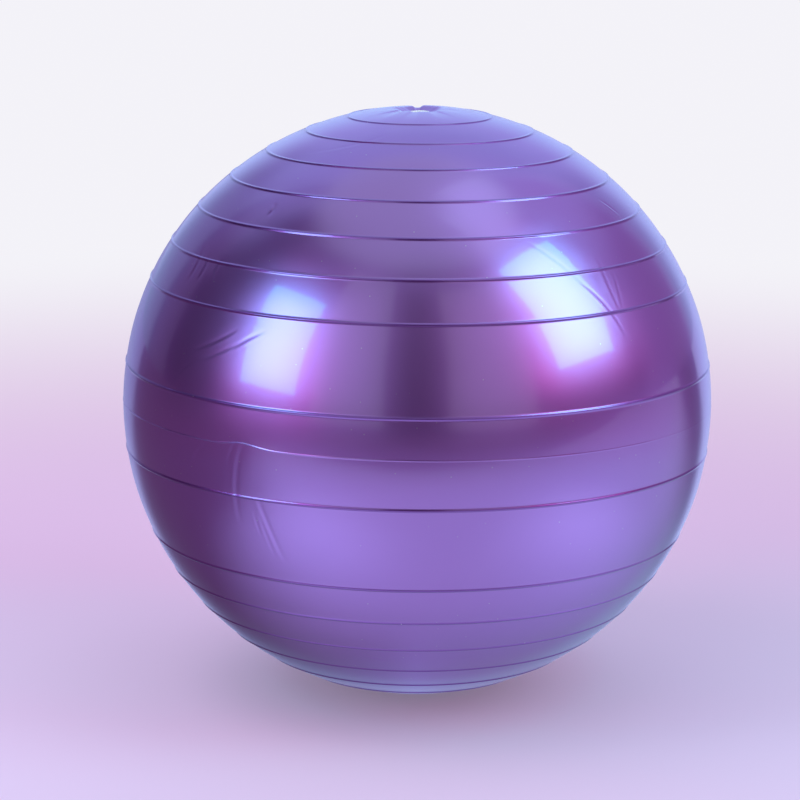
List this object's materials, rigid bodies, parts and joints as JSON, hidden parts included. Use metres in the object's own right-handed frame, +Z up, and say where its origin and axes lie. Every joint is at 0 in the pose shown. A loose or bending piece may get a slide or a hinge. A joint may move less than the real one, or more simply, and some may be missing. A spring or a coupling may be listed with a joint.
{
  "type": "exercise ball",
  "caption": "Large inflated ball with raised grip ribs and a push-in air plug in a sunken valve, resting on its own small flat contact patch.",
  "frame": {"origin": "middle of the flat contact patch, on the floor the ball rests on", "axes": "+Z up through the middle of the ball and out along the air plug; the ball is the same all round Z"},
  "size_m": [0.65, 0.65, 0.6467],
  "materials": {
    "ball_skin": "gloss",
    "valve_seat": "satin",
    "air_plug": "satin"
  },
  "bodies": {
    "ball": {"ball_shell": "ball_skin", "valve_seat": "valve_seat"},
    "plug": {"valve_plug": "air_plug"}
  },
  "joints": [
    {"name": "plug_pull", "type": "slide", "parent": "ball", "child": "plug", "axis": [0, 0, 1], "range_m": [0, 0.035]}
  ]
}
